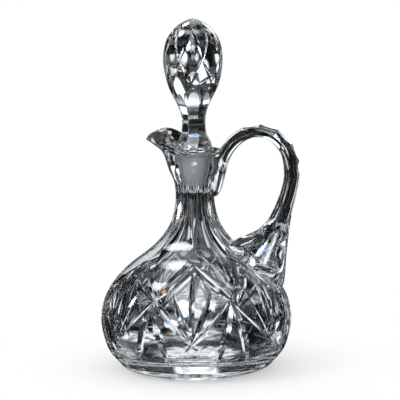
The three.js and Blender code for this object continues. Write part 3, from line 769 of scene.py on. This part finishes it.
# Radius of the stopper at a height above the plug
stopper_outline = spline([
    (0, PLUG_TOP_R),
    (0.12 * COLLAR, mix(PLUG_TOP_R, COLLAR_R, 0.28)),
    (0.22 * COLLAR, mix(PLUG_TOP_R, COLLAR_R, 0.83)),
    (0.46 * COLLAR, COLLAR_R),
    (0.75 * COLLAR, mix(COLLAR_R, NECK_R, 0.11)),
    (COLLAR, mix(COLLAR_R, NECK_R, 0.49)),
    (mix(COLLAR, NECK, 0.36), mix(COLLAR_R, NECK_R, 0.86)),
    (NECK, NECK_R),
    (mix(NECK, HEAD, 0.14), mix(NECK_R, HEAD_R, 0.06)),
    (mix(NECK, HEAD, 0.295), mix(NECK_R, HEAD_R, 0.267)),
    (mix(NECK, HEAD, 0.475), mix(NECK_R, HEAD_R, 0.575)),
    (mix(NECK, HEAD, 0.66), mix(NECK_R, HEAD_R, 0.8)),
    (mix(NECK, HEAD, 0.82), mix(NECK_R, HEAD_R, 0.933)),
    (HEAD, HEAD_R),
    (mix(HEAD, TOP, 0.24), 0.976 * HEAD_R),
    (mix(HEAD, TOP, 0.45), 0.9 * HEAD_R),
    (mix(HEAD, TOP, 0.62), 0.777 * HEAD_R),
    (mix(HEAD, TOP, 0.776), 0.597 * HEAD_R),
    (mix(HEAD, TOP, 0.897), 0.37 * HEAD_R),
    (mix(HEAD, TOP, CROWN), 0.16 * HEAD_R),
])
# Distance of its eight ground sides from the axis, more than the glass has at both ends
waist_sides = spline([
    (-4, COLLAR_R + 2),
    (0.25 * COLLAR, 0.984 * COLLAR_R),
    (0.67 * COLLAR, 0.96 * COLLAR_R),
    (mix(COLLAR, NECK, 0.05), 1.055 * NECK_R),
    (mix(COLLAR, NECK, 0.455), 0.934 * NECK_R),
    (NECK, 0.89 * NECK_R),
    (mix(NECK, HEAD, 0.136), 0.967 * NECK_R),
    (mix(NECK, HEAD, 0.295), 0.536 * HEAD_R),
    (mix(NECK, HEAD, 0.455), 0.711 * HEAD_R),
    (mix(NECK, HEAD, 0.636), 0.896 * HEAD_R),
    (mix(NECK, HEAD, 0.795), 1.09 * HEAD_R),
    (TOP + 2, 1.23 * HEAD_R),
])


def stopper_r(z):
    return stopper_outline(z - PLUG_TOP)


def stopper_profile(plug_rows=14, step=1.0):
    """Radii and heights from the plug's lower end, its edge eased, to the crown."""
    edge = [(PLUG_LOW_R - PLUG_EDGE, SEAT_LOW),
            (PLUG_LOW_R - PLUG_BEVEL, SEAT_LOW + PLUG_BEVEL),
            (PLUG_LOW_R, SEAT_LOW + PLUG_EDGE)]
    plug = [(mix(PLUG_LOW_R, PLUG_TOP_R, t), mix(SEAT_LOW + PLUG_EDGE, PLUG_TOP, t))
            for t in np.linspace(0, 1, plug_rows)[1:-1]]
    z = even(stopper_r, PLUG_TOP, PLUG_TOP + mix(HEAD, TOP, CROWN), step)
    crown = [(1.5, PLUG_TOP + TOP - 0.25), (0.5, PLUG_TOP + TOP)]
    return np.array(edge + plug + list(zip(stopper_r(z), z)) + crown).T


def side_rings(rows=130, per_side=6):
    """Eight-sided block whose sides stand waist_sides(z) from the axis, each side in a few columns."""
    z = np.concatenate([[PLUG_TOP - 25.0], np.linspace(PLUG_TOP - 4, PLUG_TOP + TOP + 2, rows)])
    angle = (np.arange(SIDES) + 0.5) * SIDE + TURN
    corners = lathe(angle, waist_sides(z - PLUG_TOP) / math.cos(math.radians(SIDE / 2)), z)
    t = np.linspace(0, 1, per_side + 1)[:-1][None, None, :, None]
    return (corners[:, :, None] * (1 - t) + np.roll(corners, -1, 1)[:, :, None] * t).reshape(len(z), -1, 3)


def make_stopper(per_side=20):
    """The profile turned about the axis, kept inside the eight-sided block, with lozenges cut in the
    head and the plug ground."""
    columns = SIDES * per_side
    angle = np.arange(columns) * 360.0 / columns + TURN
    stopper = solid("stopper_glass", *shell(lathe(angle, *stopper_profile())), BLOWN)
    carve(stopper, [solid("sides", *shell(side_rings()), CUT)], "INTERSECT")
    top, foot = (0.0, PLUG_TOP + HEAD_TOP), (0.0, PLUG_TOP + HEAD_FOOT)
    cutters = []
    for side in (-1, 1):
        corner = (side * SIDE / 2, PLUG_TOP + HEAD_CORNER)
        for start, end in ((top, corner), (corner, foot)):
            groove = mitre(stopper_r, start, end, HEAD_MITRE, HEAD_SPREAD)
            cutters.append(solid("head_mitres", *repeated(groove, SIDES, TURN), CUT))
    carve(stopper, cutters)
    grind(stopper, SEAT_LOW + PLUG_EDGE, PLUG_TOP - PLUG_BEVEL, COLLAR_R)
    crisp(stopper, HEAD_FOLD, PLAIN_FOLD)
    return stopper


vessel = make_vessel()
handle = make_handle(vessel)
crisp(vessel, CUT_FOLD, PLAIN_FOLD)
stopper = make_stopper()
for piece, node, body in (
        (vessel, "vessel", "carafe"),
        (handle, "handle", "carafe"),
        (stopper, "stopper", "stopper")):
    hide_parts(node)
    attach(piece, body)

# Camera at the photograph's place: 15.5 degrees round from the side, 8.6 degrees up, 1.8 m away
AZ, EL, DIST, ROLL = math.radians(15.5), math.radians(8.6), 1.8, 0.0128
LENS, SENSOR = 228.0, 36.0
AIM_Z, AIM_RIGHT, AIM_DOWN = 0.125, 0.00373, 0.00412
AWAY = np.array([math.sin(AZ) * math.cos(EL), -math.cos(AZ) * math.cos(EL), math.sin(EL)])
RIGHT = np.array([math.cos(AZ), math.sin(AZ), 0.0])
FRONT = np.array([math.sin(AZ), -math.cos(AZ), 0.0])
UP = np.cross(AWAY, RIGHT)
MIDDLE = np.array([0, 0, 0.11])

# Tones of the lights, and soft round lights that the glass sees: turn, rise and reach in degrees, level
PLAIN, WARM, COLD = (0.94, 1.0, 1.04), (1.0, 0.42, 0.1), (0.15, 0.45, 1.0)
WARM_LIGHTS = [(-18, 38, 4, 18.0), (6, 20, 4, 14.0), (-36, 15, 4, 14.0), (-150, 46, 4, 14.0)]
COLD_LIGHTS = [(-8, 20, 4, 18.0), (-28, 34, 4, 14.0), (24, 50, 4, 14.0)]
FRONT_LIGHTS = [
    (-30, 8, 10, 34),
    (0, 9, 8, 6),
    (15, 8, 10, 16),
    (-30, 18, 10, 4),
    (-18, 29, 10, 36),
    (0, 29, 10, 16),
    (-20, 42, 10, 28),
    (20, 42, 10, 16),
]
HIGH_LIGHTS = [
    (0, 50, 24, 5),
    (0, 80, 24, 1.2),
    (180, 50, 24, 1.4),
    (-90, 56, 10, 16),
    (-120, 56, 10, 1.5),
    (-150, 56, 10, 18),
]
BACK_LIGHTS = [
    (-75, 4, 16, 1.2),
    (-135, -2, 10, 1.2),
    (-165, 8, 10, 1.6),
    (153, 27, 14, 7),
    (146, -4, 8, 0.9),
    (165, -2, 10, 0.8),
]
# The same on the table, as pools of light painted on the mat: turn in degrees, distance and reach in
# metres, level
MAT_LIGHTS = [
    (0, 0.0, 0.035, 2.4),
    (0, 0.05, 0.02, 2.4),
    (180, 0.08, 0.03, 0.6),
    (-144, 0.08, 0.03, 0.8),
    (-72, 0.08, 0.03, 1.1),
    (90, 0.12, 0.04, 2.2),
    (0, 0.18, 0.06, 2.5),
    (180, 0.28, 0.09, 0.4),
    (150, 0.28, 0.09, 1.1),
    (0, 0.42, 0.14, 10),
]
# Share of a light's reach within which it is full, and the dark cloth's painted glow at its least and its
# rise with the painted fold shade
TENT_CORE, MAT_CORE = 0.35, 0.4
CLOTH_GLOW_LEAST, CLOTH_GLOW_RISE = 0.004, 0.03
# Radius in metres of tent and mat, and of the floor; how far mat and floor lie under the glass
SET_R, MAT_DOWN = 1.25, 0.00003
FLOOR_R, FLOOR_DOWN = 4.0, 0.00005


def place(turn, rise, distance):
    """Point at a turn to the camera's right and a rise, both in degrees, round the carafe."""
    t, e = math.radians(turn), math.radians(rise)
    level = math.cos(t) * FRONT + math.sin(t) * RIGHT
    return MIDDLE + distance * (math.cos(e) * level + math.sin(e) * np.array([0, 0, 1.0]))


def glass_only(obj):
    """Kept from the camera, from diffuse light and from shadows: only the glass shows it."""
    obj.visible_camera = obj.visible_diffuse = obj.visible_shadow = False


def disc(name, radius, down, columns, finish):
    """Flat round sheet of one face, facing up, a little under the origin; sizes in metres."""
    a = np.linspace(0, 2 * math.pi, columns + 1)[:-1]
    rim = np.stack([radius * np.cos(a), radius * np.sin(a), 0 * a - down], -1) / MM
    return solid(name, rim, [np.arange(columns)[None]], finish.material)


def shine(f, *lights):
    """Emission whose colour is the sum of each light's level times its tone."""
    total = (0.0, 0.0, 0.0)
    for level, tone in lights:
        colour = f.vector("SCALE", i0=tone, Scale=level)[0]
        total = f.vector("ADD", i0=total, i1=colour)[0]
    f.feed(f.surface, f.make("ShaderNodeEmission", Color=total, Strength=1.0).outputs[0])


def tent_finish(f):
    """Charcoal cloth that glows faintly with painted light and shade of soft uneven folding, and soft
    lights
    painted on it as glowing patches: each is brightest along its own direction from the carafe and fades
    out at its reach."""
    # painted light and shade of cloth folding, in the tent's faint painted glow
    painted_fold_shade = f.band(f.noise(2.2, 3.0, 0.55, (1.0, 1.0, 0.35)), 0.4, 0.72)
    way = f.vector("NORMALIZE", i0=f.vector("SUBTRACT", i0=f.place, i1=tuple(MIDDLE))[0])[0]

    def soft(turn, rise, reach, strength):
        axis = tuple(place(turn, rise, 1.0) - MIDDLE)
        dot = f.vector("DOT_PRODUCT", i0=way, i1=axis)["Value"]
        edge, core = math.cos(math.radians(reach)), math.cos(math.radians(TENT_CORE * reach))
        return f.band(dot, edge, core) * strength

    level = painted_fold_shade * CLOTH_GLOW_RISE + CLOTH_GLOW_LEAST
    for light in FRONT_LIGHTS + HIGH_LIGHTS + BACK_LIGHTS:
        level = level + soft(*light)
    warm = sum(soft(*light) for light in WARM_LIGHTS)
    cold = sum(soft(*light) for light in COLD_LIGHTS)
    shine(f, (level, PLAIN), (warm, WARM), (cold, COLD))


def tent(rows=48, columns=96, pole=0.02):
    """Ball of cloth round the set, glowing with painted light."""
    f = Finish("tent_cloth_painted_light")
    tent_finish(f)
    t = np.linspace(pole, math.pi - pole, rows)[:, None]
    a = np.linspace(0, 2 * math.pi, columns + 1)[:-1][None]
    ball = np.stack([np.sin(t) * np.cos(a), np.sin(t) * np.sin(a), np.cos(t) + 0 * a], -1) * SET_R
    glass_only(solid("tent", *shell((ball + MIDDLE) / MM), f.material))


def mat_finish(f):
    """Dark cloth on the table, glowing faintly with painted light and shade of folding, with pools of
    light painted on it that painted shade of creases breaks up.
    """
    # painted light and shade of cloth folding, in the mat's faint painted glow
    painted_fold_shade = f.band(f.noise(3.0, 3.0, 0.55), 0.4, 0.72)
    # pools of light painted on the mat, one for each of MAT_LIGHTS
    pools = 0.0
    for turn, distance, reach, strength in MAT_LIGHTS:
        x, y, _ = place(turn, 0, distance)
        far = f.vector("DISTANCE", i0=f.place, i1=(x, y, 0.0))["Value"]
        pools = (1.0 - f.band(far, MAT_CORE * reach, reach)) * strength + pools
    # painted shade of creases, which dims and brightens the painted pools of light
    painted_crease_shade = f.band(f.noise(110.0, 2.0, 0.5), 0.4, 0.6) * 1.3 + 0.35
    shine(f, (pools * painted_crease_shade + (painted_fold_shade * CLOTH_GLOW_RISE + CLOTH_GLOW_LEAST), PLAIN))


def mat():
    """Round cloth under the carafe, glowing with painted light."""
    f = Finish("mat_cloth_painted_light")
    mat_finish(f)
    glass_only(disc("mat", SET_R, MAT_DOWN, 64, f))


def floor_finish(f, near=0.04, far=0.17, least=0.4):
    """Pale plain floor that keeps the shadow near the object and runs out to the white background."""
    f.set(Base_Color=(0.98, 0.98, 0.98, 1), Roughness=1.0, Specular_IOR_Level=0.0)
    away = f.vector("LENGTH", i0=f.place)["Value"]
    path = f.make("ShaderNodeLightPath").outputs
    rays = Value(f.tree, path["Is Camera Ray"]) + path["Is Glossy Ray"] + path["Is Transmission Ray"]
    share = (f.band(away, near, far) * (1.0 - least) + least) * f.band(rays, 0.0, 1.0)
    white = f.make("ShaderNodeEmission", Strength=1.0).outputs[0]
    f.feed(f.surface, f.make("ShaderNodeMixShader", i0=share, i1=f.shader.outputs[0], i2=white).outputs[0])


def white_room(shine_on=0.93):
    """White to the camera and through the glass, a little less as light on the set."""
    world = bpy.data.worlds.new("studio")
    bpy.context.scene.world = world
    world.use_nodes = True
    w = Nodes(world.node_tree)
    path = w.make("ShaderNodeLightPath").outputs
    also = Value(w.tree, path["Is Glossy Ray"]).maths("MAXIMUM", path["Is Transmission Ray"])
    seen = Value(w.tree, path["Is Camera Ray"]).maths("MAXIMUM", also)
    level = w.make("ShaderNodeMapRange", Value=seen, To_Min=shine_on, To_Max=1.0).outputs["Result"]
    back = w.tree.nodes["Background"]
    w.feed(back.inputs["Color"], WHITE)
    w.feed(back.inputs["Strength"], level)


def key_lamp(spot=(-0.9, -0.9, 1.2), target=(0, 0, 0.1), side=0.8, power=6.0):
    """One square soft lamp, high to the camera's left, that gives the shadow its direction."""
    data = bpy.data.lights.new("key", "AREA")
    data.shape, data.size, data.energy = "SQUARE", side, power
    obj = bpy.data.objects.new("key", data)
    bpy.context.collection.objects.link(obj)
    obj.location = spot
    obj.rotation_euler = Vector(np.array(target) - np.array(spot)).to_track_quat("-Z", "Y").to_euler()


def photograph_camera():
    """Camera looking at the aim from AWAY, rolled a little about its own line of sight."""
    spot = np.array([0, 0, AIM_Z]) + RIGHT * AIM_RIGHT - UP * AIM_DOWN + AWAY * DIST
    right = RIGHT * math.cos(ROLL) - UP * math.sin(ROLL)
    up = UP * math.cos(ROLL) + RIGHT * math.sin(ROLL)
    eye = bpy.data.cameras.new("camera")
    eye.sensor_width, eye.lens, eye.clip_end = SENSOR, LENS, 50.0
    camera = bpy.data.objects.new("camera", eye)
    bpy.context.collection.objects.link(camera)
    rows = np.column_stack([right, up, AWAY, spot]).tolist()
    camera.matrix_world = Matrix(rows + [[0, 0, 0, 1]])
    bpy.context.scene.camera = camera


def light_paths(cycles, deep=32, glossy=16, brightest=1.4):
    """Deep enough for glass behind glass behind glass; the cap on indirect light keeps specks down."""
    cycles.max_bounces = cycles.transmission_bounces = cycles.transparent_max_bounces = deep
    cycles.glossy_bounces = glossy
    cycles.sample_clamp_indirect = brightest


tent()
mat()
FLOOR = Finish("floor_white")
floor_finish(FLOOR)
floor = disc("floor", FLOOR_R, FLOOR_DOWN, 64, FLOOR)
white_room()
key_lamp()
photograph_camera()
light_paths(bpy.context.scene.cycles)
bpy.context.scene.view_settings.view_transform = "Standard"
